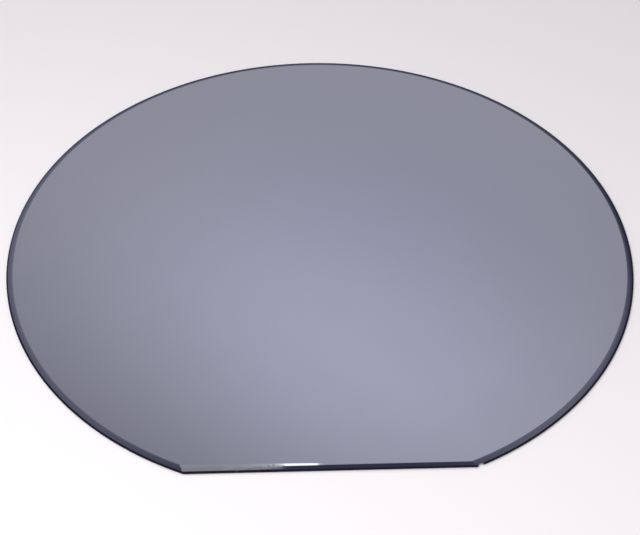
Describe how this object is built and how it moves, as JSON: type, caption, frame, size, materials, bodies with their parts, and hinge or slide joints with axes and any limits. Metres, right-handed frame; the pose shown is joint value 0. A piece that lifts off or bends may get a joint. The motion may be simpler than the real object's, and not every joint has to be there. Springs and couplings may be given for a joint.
{
  "type": "silicon wafer",
  "caption": "Round polished slice of single-crystal silicon with one primary flat and a ground, bevelled rim: the blank disc on which chips are made.",
  "frame": {"origin": "centre of the round outline on the back face", "axes": "+Z out of the polished front, -Y out of the primary flat, +X along the flat to its chipped corner"},
  "size_m": [0.15, 0.1443, 0.0007],
  "materials": {
    "polished_silicon": "polished"
  },
  "bodies": {
    "root": {"wafer": "polished_silicon"}
  },
  "joints": []
}
